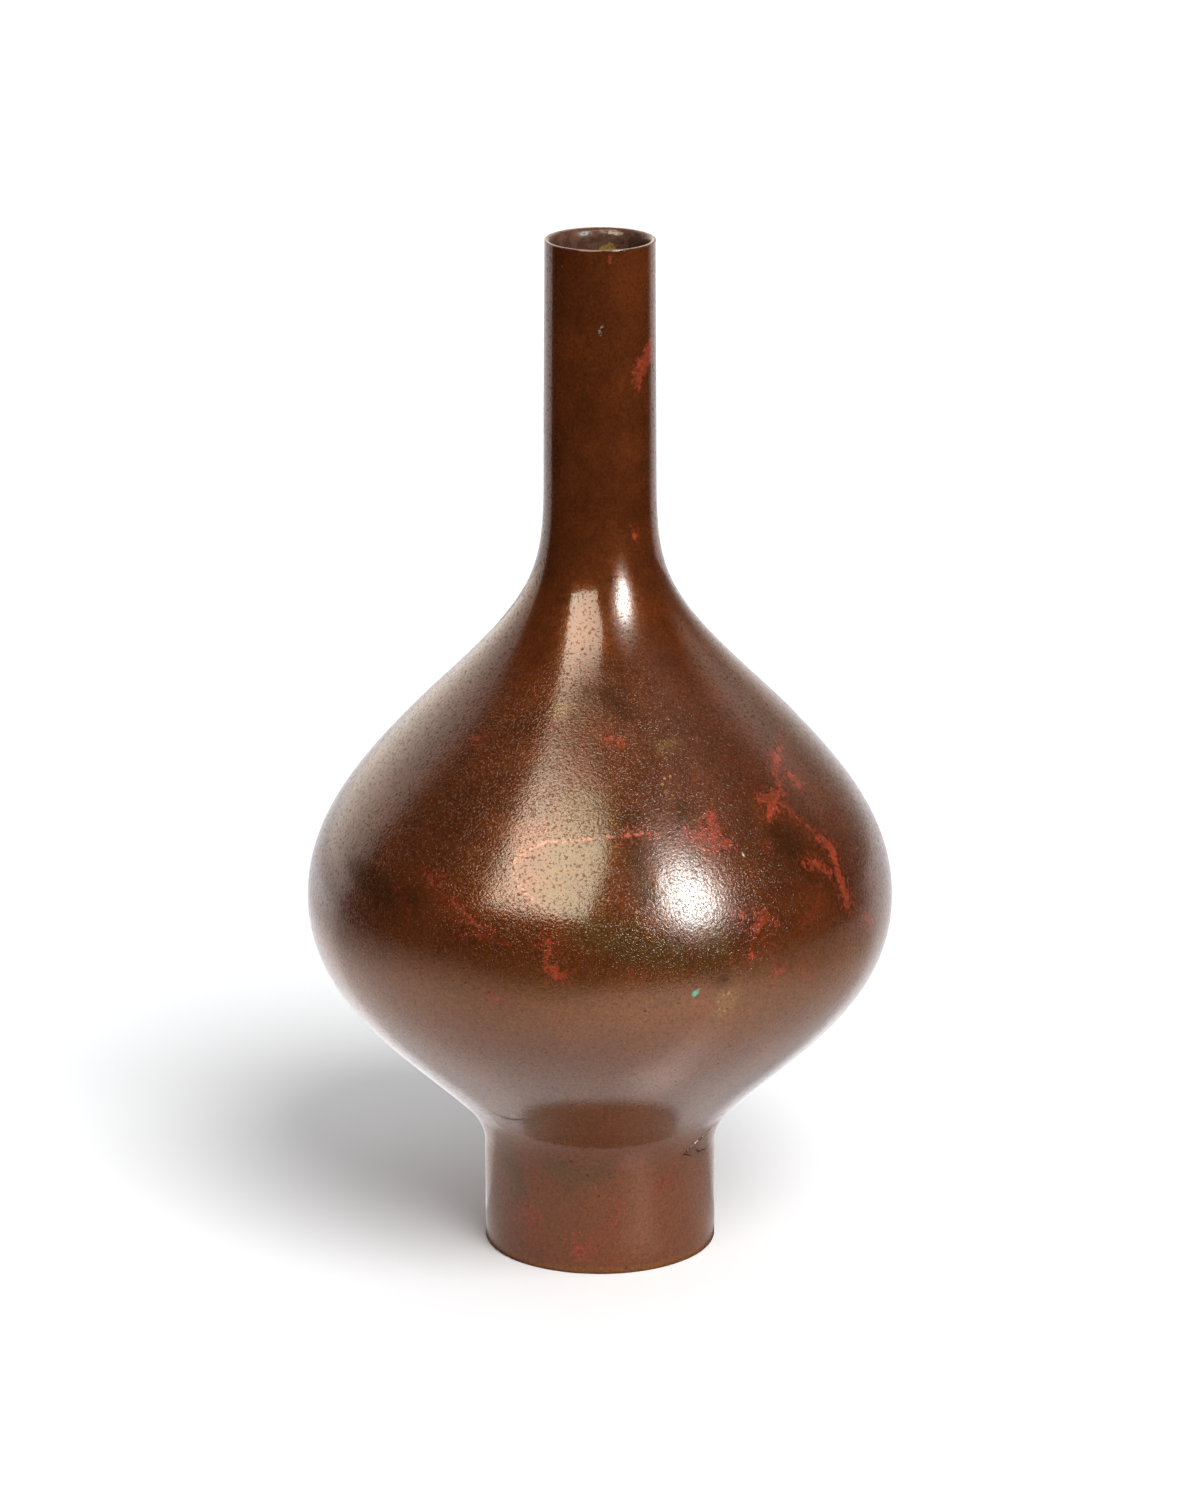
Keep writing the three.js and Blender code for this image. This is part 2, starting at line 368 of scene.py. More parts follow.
def sweepCurve(start, leaving, end, reaching, hold):
    rise = end[1] - start[1]
    first = start + leaving * hold[0] * rise
    second = end - reaching * hold[1] * rise
    t = np.linspace(0, 1, 400)[:, None]
    place = (1 - t) ** 3 * start + 3 * (1 - t) ** 2 * t * first + 3 * (1 - t) * t * t * second + t ** 3 * end
    along = (1 - t) ** 2 * (first - start) + 2 * (1 - t) * t * (second - first) + t * t * (end - second)
    return place, along


def makeOutline(form):
    up = np.array([0.0, 1.0])
    bowl, shoulder = radians(form["bowlSlope"]), radians(form["shoulderSlope"])
    alongBowl = np.array([cos(bowl), sin(bowl)])
    alongShoulder = np.array([-cos(shoulder), sin(shoulder)])
    ends = [
        np.array([form["footRadius"], form["footUpright"]]),
        np.array([form["footRadius"] + form["flareRun"], form["footUpright"] + form["footFlare"]]),
        np.array([radiusOf("body_shell"), bellyHeight]),
        np.array([form["shoulderRadius"], bellyHeight + form["crownRise"]]),
        np.array([form["neckRootRadius"], neckRoot]),
    ]
    ways = [up, alongBowl, up, alongShoulder, up]
    holds = [form["flareHold"], form["bowlHold"], form["crownHold"], form["shoulderHold"]]
    places, alongs = [[(form["footRadius"], 0.0)]], [[(0.0, 1.0)]]
    for i, hold in enumerate(holds):
        place, along = sweepCurve(ends[i], ways[i], ends[i + 1], ways[i + 1], hold)
        places.append(place[:-1])
        alongs.append(along[:-1])
    taper = np.array([form["lipRadius"] - form["neckRootRadius"], lipTop - neckRoot])
    places.append([ends[-1], (form["lipRadius"], lipTop)])
    alongs.append([taper, taper])
    place, along = np.vstack(places), np.vstack(alongs)
    arc = np.concatenate([[0], np.cumsum(np.linalg.norm(np.diff(place, axis=0), axis=1))])
    return place, along / np.linalg.norm(along, axis=1)[:, None], arc


outlinePlace, outlineAlong, outlineArc = makeOutline(form)


def radiusAt(height):
    return np.interp(height, outlinePlace[:, 1], outlinePlace[:, 0])


def arcAt(height):
    return np.interp(height, outlinePlace[:, 1], outlineArc)


# points of the outline between two heights, moved inwards by depth, evenly spaced and closer at the ends
def outlineRun(low, high, spacing, depth=0.0):
    moved = outlinePlace + depth * np.stack([-outlineAlong[:, 1], outlineAlong[:, 0]], 1)
    length = np.concatenate([[0], np.cumsum(np.linalg.norm(np.diff(moved, axis=0), axis=1))])
    start, end = np.interp([low, high], moved[:, 1], length)
    steps = np.linspace(start, end, max(2, int(round((end - start) / spacing)) + 1))
    nearEnd = min(0.12, (end - start) / 4)
    steps = np.unique(np.concatenate([steps, [start + nearEnd, end - nearEnd]]))
    return [(np.interp(s, length, moved[:, 0]), np.interp(s, length, moved[:, 1])) for s in steps]


def rounding(centre, radius, start, end, count=6):
    angles = np.radians(np.linspace(start, end, count))
    return [(centre[0] + radius * cos(a), centre[1] + radius * sin(a)) for a in angles]


# the casting isn't quite true: broad, shallow unevenness, always inwards of the true form
unevenness = {"waves": 26, "longest": 75.0, "shortest": 16.0, "depth": 0.05, "seed": 7}


def makeWaves(settings):
    random = np.random.default_rng(settings["seed"])
    ways = random.normal(size=(settings["waves"], 3))
    ways /= np.linalg.norm(ways, axis=1)[:, None]
    lengths = np.geomspace(settings["longest"], settings["shortest"], settings["waves"])
    phases = random.uniform(0, 2 * pi, settings["waves"])
    return ways * (2 * pi / lengths)[:, None], phases, lengths / lengths.sum()


waveWays, wavePhases, waveShares = makeWaves(unevenness)


# how far the surface lies inwards of the true form, at points in millimetres
def relief(points):
    wave = (np.sin(points @ waveWays.T + wavePhases) * waveShares).sum(1)
    return unevenness["depth"] * np.clip(0.5 + 1.6 * wave, 0, 1)


# meshes turned about the axis, with closer sides at the front
sides = {"front": 220, "back": 130, "frontReach": 80.0}


def bearingsRound():
    reach = sides["frontReach"]
    ahead = np.linspace(-reach, reach, sides["front"], endpoint=False)
    behind = np.linspace(reach, 360 - reach, sides["back"], endpoint=False)
    return np.radians(np.concatenate([ahead, behind]))


def newPiece(name, points, faces):
    mesh = bpy.data.meshes.new(name)
    mesh.from_pydata((np.asarray(points) * mm).tolist(), [], faces)
    return addObject(name, mesh)


# outline is closed and runs up the outside first; its first shaped points get the casting's unevenness
def turnedPiece(name, outline, shaped=0):
    bearings = bearingsRound()
    outline = np.array(outline, float)
    rings, round_ = len(outline), len(bearings)
    radius, height = np.repeat(outline[:, 0], round_), np.repeat(outline[:, 1], round_)
    bearing = np.tile(bearings, rings)
    points = np.stack([radius * np.sin(bearing), -radius * np.cos(bearing), height], 1)
    if shaped:
        outer = slice(0, shaped * round_)
        depth = relief(points[outer])
        points[outer, 0] -= depth * np.sin(bearing[outer])
        points[outer, 1] += depth * np.cos(bearing[outer])
    ring, side = np.meshgrid(np.arange(rings), np.arange(round_), indexing="ij")
    nextRing, nextSide = (ring + 1) % rings, (side + 1) % round_
    faces = np.stack([ring * round_ + side, ring * round_ + nextSide, nextRing * round_ + nextSide,
                      nextRing * round_ + side], -1).reshape(-1, 4)
    return newPiece(name, points, faces.tolist())


def smooth(piece, angle=35):
    piece.data.shade_smooth()
    piece.data.set_sharp_from_angle(angle=radians(angle))


def cutWith(piece, cutter, operation="DIFFERENCE"):
    modifier = piece.modifiers.new("cut", "BOOLEAN")
    modifier.operation = operation
    modifier.solver = "MANIFOLD"
    modifier.object = cutter
    bpy.context.view_layer.update()
    shape = bpy.data.meshes.new_from_object(piece.evaluated_get(bpy.context.evaluated_depsgraph_get()))
    piece.modifiers.remove(modifier)
    old = piece.data
    piece.data = shape
    bpy.data.meshes.remove(old)
    shape.name = piece.name
    bpy.data.objects.remove(cutter)


# a place on the outside in millimetres, with its outward, sideways and upward directions
def surfaceFrame(bearing, height):
    b = radians(bearing)
    radius = float(radiusAt(height))
    slope = float(radiusAt(height + 0.5)) - float(radiusAt(height - 0.5))
    place = np.array([radius * sin(b), -radius * cos(b), height])
    outward = np.array([sin(b), -cos(b), -slope]) / hypot(1, slope)
    sideways = np.array([cos(b), sin(b), 0.0])
    return place, outward, sideways, np.cross(outward, sideways) * -1


# a closed four-sided rod; each station is a centre and two half-width directions in millimetres
def rodMesh(stations):
    points, faces = [], []
    for centre, across, deep in stations:
        points += [centre + deep, centre + across, centre - deep, centre - across]
    for i in range(len(stations) - 1):
        for k in range(4):
            a, b = i * 4 + k, i * 4 + (k + 1) % 4
            faces.append((a, b, b + 4, a + 4))
    last = len(points) - 4
    faces += [(3, 2, 1, 0), (last, last + 1, last + 2, last + 3)]
    return points, faces


# a crack wanders a little and narrows to its ends; near is the share of its length that gives its direction
crackForm = {"stations": 7, "bearingWander": 0.25, "heightWander": 0.12, "near": 0.02,
             "tip": 0.15, "narrowest": 0.6}


# path is a list of (bearing, height)
def crackCutter(name, path, width, depth, seed):
    random = np.random.default_rng(seed)
    path = np.array(path, float)
    share = np.linspace(0, 1, len(path))
    aside, up, near = (crackForm[key] for key in ("bearingWander", "heightWander", "near"))

    def along(s):
        return np.interp(s, share, path[:, 0]), np.interp(s, share, path[:, 1])

    stations = []
    for s in np.linspace(0, 1, crackForm["stations"] * (len(path) - 1) + 1):
        bearing, height = along(s)
        bearing += random.uniform(-aside, aside)
        height += random.uniform(-up, up)
        here, outward = surfaceFrame(bearing, height)[:2]
        there, back = surfaceFrame(*along(s + near))[0], surfaceFrame(*along(s - near))[0]
        across = np.cross(there - back, outward)
        across /= np.linalg.norm(across)
        taper = max(crackForm["tip"], sin(pi * s)) * random.uniform(crackForm["narrowest"], 1.0)
        stations.append((here, across * width * taper, outward * depth * taper))
    return newPiece(name, *rodMesh(stations))


# balls are (bearing, height, radius, depth below the surface), joined in one mesh
def ballCutter(name, balls, rows=6, around=12):
    points, faces = [], []
    for bearing, height, radius, depth in balls:
        place, outward, sideways, upward = surfaceFrame(bearing, height)
        centre = place + outward * (radius - depth)
        base = len(points)
        points.append(centre + outward * radius)
        for row in range(1, rows):
            lean = pi * row / rows
            for k in range(around):
                turn = 2 * pi * k / around
                across = sideways * cos(turn) + upward * sin(turn)
                points.append(centre + radius * (outward * cos(lean) + across * sin(lean)))
        points.append(centre - outward * radius)
        bottom = len(points) - 1
        for k in range(around):
            nextK = (k + 1) % around
            faces.append((base, base + 1 + k, base + 1 + nextK))
            for row in range(rows - 2):
                a = base + 1 + row * around
                faces.append((a + k, a + around + k, a + around + nextK, a + nextK))
            a = base + 1 + (rows - 2) * around
            faces.append((bottom, a + nextK, a + k))
    return newPiece(name, points, faces)


# marks of the patina: strokes of (bearing, height, half width), bearings in degrees, the rest in millimetres
redMarks = [
    [(63, 271, 2.0), (60, 268, 2.6), (50, 266.5, 2.6), (43, 265, 2.5), (41, 262, 2.0), (43, 260, 1.1)],
    [(58, 269.5, 2.2), (48, 264.5, 2.2)],
    [(10, 298, 0.7), (10, 296, 0.5)],
    [(35, 219, 0.8), (36, 216.5, 0.9)],
    [(3, 167.6, 1.2), (6, 166.6, 1.4)],
    [(63, 157.5, 1.4), (58, 156, 1.1), (54, 154, 0.8), (53, 151, 0.7), (52, 149, 1.3), (47, 148.6, 1.8),
     (44, 149, 1.2)],
    [(47, 148, 2.2), (46, 146, 1.8), (44, 144.5, 0.9)],
    [(59, 152, 1.3), (60, 149, 1.4)],
    [(50, 147, 0.5), (53, 141, 0.6), (56, 135, 0.8)],
    [(57, 136, 1.2), (58, 132, 2.0), (57, 128, 1.4), (57, 124, 1.9), (57, 118, 1.9)],
    [(48, 131.7, 1.2), (51, 131, 1.2), (53, 128, 1.2), (56, 127, 1.0)],
    [(20, 145, 1.2), (23, 143.5, 2.0), (26, 142, 2.8), (30, 140.8, 1.4)],
    [(28, 147.5, 1.7), (28, 144, 1.9)],
    [(26, 139.5, 1.5)],
    [(5, 145, 0.9), (8, 145.5, 0.9), (12, 145.3, 0.7)],
    [(29, 123, 1.1)],
    [(34, 122, 1.3), (32, 119, 1.4), (31, 117.4, 1.0)],
    [(36, 119, 0.9)],
    [(30, 111.5, 0.9)],
    [(36, 104.8, 1.3)],
    [(43, 103, 1.1)],
    [(62, 112, 0.9), (64, 110.6, 1.3), (66, 108, 1.0)],
    [(-39, 130.8, 0.4), (-36, 129.8, 0.9), (-34, 129.8, 0.4)],
    [(-31, 126.7, 0.5), (-28, 124.3, 0.9), (-26, 121.8, 0.7), (-22, 119.8, 0.5)],
    [(-27, 118.3, 0.4)],
    [(-10, 118.6, 1.1), (-10, 115.3, 1.3)],
    [(-10, 111.9, 1.2), (-8, 109.5, 1.6), (-7, 109.6, 1.2)],
    [(-21, 102, 0.8)],
    [(-19.5, 100.6, 1.3)],
    [(-42, 164, 0.8)],
    [(-39, 16.3, 1.2), (-35, 16, 1.3)],
    [(-13, 9.9, 0.9), (-10, 6.5, 1.4)],
    [(9, 21, 1.0)],
]
faintRedMarks = [
    [(72, 160.7, 1.4), (63, 157.5, 1.6)],
    [(59, 145, 0.9), (60, 139.6, 1.0), (57, 136, 1.0)],
    [(45, 132, 0.7), (46, 129, 0.7), (44, 127, 0.7)],
    [(40, 137.8, 1.7)],
    [(33, 132.6, 1.1)],
    [(34, 115, 2.4), (34, 112.6, 2.2)],
    [(6, 110.2, 1.3), (8, 110.1, 1.3)],
    [(80, 155, 1.1), (82, 150, 1.1)],
    [(-63, 110, 1.2)],
    [(-61, 117, 1.0)],
    [(-17, 170, 1.9)],
    [(-34, 127, 2.5), (-27, 122, 3.5), (-18, 117, 2.0)],
    [(-45, 125, 2.0), (-41, 121, 2.0)],
    [(50, 124, 1.6), (47, 119, 2.2), (43, 116, 1.4)],
    [(-38, 17, 2.6), (-36, 11, 3.2), (-33, 7.5, 2.6)],
    [(8, 20, 2.0), (4, 14, 3.2), (-4, 9, 3.4), (-11, 6.5, 2.4)],
    [(33, 27, 2.0), (29, 24, 1.6)],
    [(7, 4.5, 2.6)],
    [(36, 26.4, 2.8)],
]
# dark patches of the patina, and strokes of painted shade
darkPatchesAndPaintedShade = [
    [(-4, 178, 1.6), (3, 177, 2.6), (10, 173, 2.6)],
    [(24, 105.6, 1.6)],
    [(45, 140, 5.0), (47, 133, 4.5)],
    # painted shade of the foot's cracks, with dirt in them
    [(-38, 51.4, 0.2), (-32, 50.3, 0.5), (-26, 51.8, 0.2)],
    [(64, 41, 0.3), (57, 38, 0.8), (47, 34.5, 0.8)],
    [(66, 31.5, 0.3), (57, 32.4, 0.6), (53, 34.4, 0.5)],
    # painted shade on the left of the belly
    [(-62, 127, 2.5), (-50, 124, 4.5), (-40, 124, 2.5)],
    [(21, 150, 3.0)],
    [(7, 149, 2.0), (8, 141, 3.0), (10, 131, 3.5)],
]
oliveMarks = [
    [(21, 112.8, 3.0), (23, 116.3, 2.8)],
    [(-3, 122, 4.0), (6, 118, 4.5), (15, 113, 3.0)],
    [(-3, 150, 7.5), (-6, 133, 8.0)],
    [(-52, 31, 3.4), (-46, 24, 3.4)],
    [(-24, 33, 2.6), (-12, 30, 3.0), (2, 32, 2.4)],
]
goldMarks = [[(25, 99.8, 4.2), (24, 96.4, 3.2)], [(20, 164.4, 1.8), (26, 165.3, 1.6)], [(-16, 173, 3.0)]]
greenMarks = [[(18, 102.3, 0.45), (18.9, 103.9, 0.3)]]
paleMarks = [
    [(-42, 294.6, 0.2)], [(-21, 288.7, 0.35)], [(-19, 277.8, 0.15)], [(16, 269.5, 0.15)],
    [(0, 276.0, 0.45), (-1, 277.2, 0.2), (2, 278.4, 0.25), (5, 278.2, 0.1)],
    [(30, 142.5, 0.1), (32, 139.6, 0.12), (33, 137, 0.12)],
]
pinkLine = [[(-12, 128, 0.05), (-16, 131, 0.15), (-19, 136, 0.15), (-19, 138.5, 0.2), (-16, 141, 0.25),
             (-13, 143.2, 0.35), (-3, 144.3, 0.35), (5, 145, 0.3), (11, 145.4, 0.2)]]
# the smooth patch's edge, as (bearing, height)
islandEdge = [(-8, 125), (-14, 129), (-17, 132), (-19, 136), (-19, 138.5), (-16, 141), (-13, 143.2),
              (-3, 144.3), (5, 145), (12, 145.5), (13, 138), (9, 128), (1, 123)]
innerGold = [[(178, 294.4, 0.2), (170, 294.8, 0.9), (162, 294.4, 0.4)]]
# a pale band inside the back of the lip: a painted highlight where the softbox's glint falls
innerPaintedGlint = [[(169, 298.7, 0.35), (160, 298.5, 0.5), (153, 298.7, 0.35)]]
backMarks = {"seed": 11, "veins": 30, "clouds": 22, "clear": 84.0,
             "veinHeights": [(60, 185), (90, 160), (4, 40), (200, 290)], "veinWidths": (0.6, 1.9),
             "mostBends": 6, "wander": 0.6, "sidestep": 2.4, "drops": (0.5, 3.6),
             "cloudHeights": (8, 285), "cloudWidths": [(1.5, 5), (1.5, 4)], "cloudStep": 4}


# core plugs: two rings of three, filed flush with the body; dots of braze show round them
plugs = {"radius": 3.17, "hole": 3.2, "inRing": 3,
         "upper": {"bearing": 20, "height": bellyHeight + 50},
         "lower": {"bearing": 25, "height": bellyHeight - 7},
         "dots": [86, 120, 166, 218, 258], "dotsOut": 0.92, "dotWidth": 0.5}

plugPlaces = {}
for level in ("upper", "lower"):
    for count in range(plugs["inRing"]):
        bearing = plugs[level]["bearing"] + 360 / plugs["inRing"] * count
        plugPlaces[f"{level}_core_plug_{count + 1}"] = (bearing, plugs[level]["height"])


# places in millimetres from the middle of the nearest plug, along the surface
def plugOffsets(bearing, height):
    aside, above = np.full(len(bearing), 99.0), np.full(len(bearing), 99.0)
    for plugBearing, plugHeight in plugPlaces.values():
        turn = (bearing - radians(plugBearing) + pi) % (2 * pi) - pi
        x, y = turn * radiusAt(height), arcAt(height) - arcAt(plugHeight)
        close = np.hypot(x, y) < np.hypot(aside, above)
        aside, above = np.where(close, x, aside), np.where(close, y, above)
    return aside, above


# how deep each point lies inside the strokes, in millimetres; below zero outside them
def strokeDepth(bearing, height, strokes, reach=8.0):
    arc, radius = arcAt(height), radiusAt(height)
    depth = np.full(len(bearing), -reach)
    for stroke in strokes:
        line = [stroke[0], stroke[0]] if len(stroke) == 1 else stroke
        for (b0, h0, w0), (b1, h1, w1) in zip(line, line[1:]):
            middle = radians((b0 + b1) / 2)
            turn = (bearing - middle + pi) % (2 * pi) - pi
            x, y = turn * radius, arc
            x0, x1 = radians(b0) - middle, radians(b1) - middle
            start = np.stack([x0 * radius, np.full_like(x, arcAt(h0))])
            along = np.stack([(x1 - x0) * radius, np.full_like(x, arcAt(h1) - arcAt(h0))])
            reachAlong = np.maximum((along ** 2).sum(0), 1e-9)
            share = np.clip((((x - start[0]) * along[0]) + ((y - start[1]) * along[1])) / reachAlong, 0, 1)
            away = np.hypot(x - start[0] - share * along[0], y - start[1] - share * along[1])
            depth = np.maximum(depth, w0 + (w1 - w0) * share - away)
    return depth


# distance to the smooth patch's edge in millimetres, above zero inside it
def islandDepth(bearing, height, edge, reach=8.0):
    closed = edge + edge[:1]
    away = -strokeDepth(bearing, height, [[(b, h, 0.0) for b, h in closed]], reach)
    inside = np.zeros(len(bearing), bool)
    degrees = np.degrees((bearing + pi) % (2 * pi) - pi)
    for (b0, h0), (b1, h1) in zip(closed, closed[1:]):
        crosses = (h0 > height) != (h1 > height)
        with np.errstate(divide="ignore", invalid="ignore"):
            at = (b1 - b0) * (height - h0) / (h1 - h0) + b0 if h1 != h0 else np.full_like(height, 999.0)
        inside ^= crosses & (degrees < at)
    return np.where(inside, away, -away)


# veins and clouds of the same kind for the side that the photograph doesn't show
def makeBackMarks(settings):
    random = np.random.default_rng(settings["seed"])
    hidden = settings["clear"], 360 - settings["clear"]
    wander, step = settings["wander"], settings["cloudStep"]
    veins, clouds = [], []
    for _ in range(settings["veins"]):
        bearing = random.uniform(*hidden)
        height = random.choice([random.uniform(low, high) for low, high in settings["veinHeights"]])
        lean, vein = random.uniform(-1, 1), []
        for _ in range(random.integers(1, settings["mostBends"])):
            vein.append((bearing, height, random.uniform(*settings["veinWidths"])))
            bearing += (lean + random.uniform(-wander, wander)) * settings["sidestep"]
            height -= random.uniform(*settings["drops"])
        veins.append(vein)
    for _ in range(settings["clouds"]):
        bearing, height = random.uniform(*hidden), random.uniform(*settings["cloudHeights"])
        first, second = (random.uniform(*widths) for widths in settings["cloudWidths"])
        clouds.append([(bearing, height, first), (bearing + step, height - step, second)])
    return veins, clouds


backVeins, backClouds = makeBackMarks(backMarks)
markStrokes = {
    "red": redMarks + backVeins, "faintRed": faintRedMarks + backClouds[::2],
    "dark": darkPatchesAndPaintedShade + backClouds[1::2], "olive": oliveMarks + backClouds[::3], "gold": goldMarks,
    "green": greenMarks, "pale": paleMarks, "pink": pinkLine, "innerGold": innerGold, "innerPaintedGlint": innerPaintedGlint,
}

# how far under the true form the inside and the hollows begin, and over what depth they grow, in millimetres
depths = {"inside": (0.9, 0.8), "hollow": (0.08, 0.15), "aboveFoot": 2, "belowLip": 3}


# writes how deep each point lies in each kind of mark, and whether it is inside the vase
def addMarks(piece):
    mesh = piece.data
    points = np.empty(len(mesh.vertices) * 3)
    mesh.vertices.foreach_get("co", points)
    points = points.reshape(-1, 3) / mm
    bearing = np.arctan2(points[:, 0], -points[:, 1])
    radius, height = np.hypot(points[:, 0], points[:, 1]), points[:, 2]
    # millimetres under the true form
    under = radiusAt(height) - radius
    (insideFrom, insideOver), (hollowFrom, hollowOver) = depths["inside"], depths["hollow"]
    upright = (height > depths["aboveFoot"]) * (height < lipTop - depths["belowLip"])
    fields = {name: strokeDepth(bearing, height, lines) for name, lines in markStrokes.items()}
    fields["island"] = islandDepth(bearing, height, islandEdge)
    fields["aside"], fields["above"] = plugOffsets(bearing, height)
    fields["inside"] = np.clip((under - insideFrom) / insideOver, 0, 1)
    fields["hollow"] = np.clip((under - hollowFrom) / hollowOver, 0, 1) * upright
    for name, values in fields.items():
        mesh.attributes.new(name, "FLOAT", "POINT").data.foreach_set("value", values.astype(np.float32))


# patina: waxed brown with red, olive and gold marks over bronze
patina = {
    "dark": (0.074, 0.0170, 0.0040, 1), "chestnut": (0.106, 0.0250, 0.0058, 1),
    "russet": (0.134, 0.0295, 0.0068, 1), "tan": (0.205, 0.076, 0.017, 1),
    "footBrown": (0.141, 0.038, 0.009, 1),
    "olive": (0.078, 0.039, 0.009, 1), "shade": (0.036, 0.0120, 0.0036, 1), "gold": (0.24, 0.13, 0.035, 1),
    "brick": (0.165, 0.028, 0.009, 1), "vermilion": (0.31, 0.038, 0.016, 1), "pink": (0.46, 0.14, 0.09, 1),
    "orange": (0.42, 0.17, 0.06, 1), "green": (0.10, 0.36, 0.21, 1), "pale": (0.40, 0.31, 0.23, 1),
    # soot is dark dirt inside and in the pinholes, and painted shade in the pits, cracks and dents
    "inside": (0.125, 0.060, 0.040, 1), "sootAndShade": (0.038, 0.014, 0.007, 1), "gilt": (0.36, 0.22, 0.05, 1),
    "metal": 0.3, "roughness": 0.24, "sheenLevel": 0.05, "sheenTint": (1.0, 0.8, 0.5, 1),
    "coatRoughness": 0.07, "coatIor": 1.46,
}
# widths of the patina's blotches and of the skin's grain, and how high the grain stands, in metres
blotch = {"cloud": 34 * mm, "russet": 17 * mm, "mottle": 9 * mm, "thread": 4.6 * mm, "small": 2.6 * mm,
          "crust": 1.3 * mm, "speck": 0.8 * mm}
grain = {"peel": 0.75 * mm, "dimple": 0.5 * mm, "fine": 0.32 * mm, "pinhole": 0.85 * mm, "pock": 0.9 * mm,
         "stands": 0.06 * mm}
# heights in metres between which one tone or skin gives way to the next
zones = {"tanTop": (0.118, 0.098), "tanFoot": (0.076, 0.098), "foot": (0.062, 0.052),
         "neck": (0.185, 0.215), "edge": (0.003, 0.001), "fleckTop": (0.205, 0.185),
         "skinTop": (0.195, 0.165), "skinFoot": (0.06, 0.1), "pinholes": (0.122, 0.1),
         "footWax": (0.05, 0.042)}


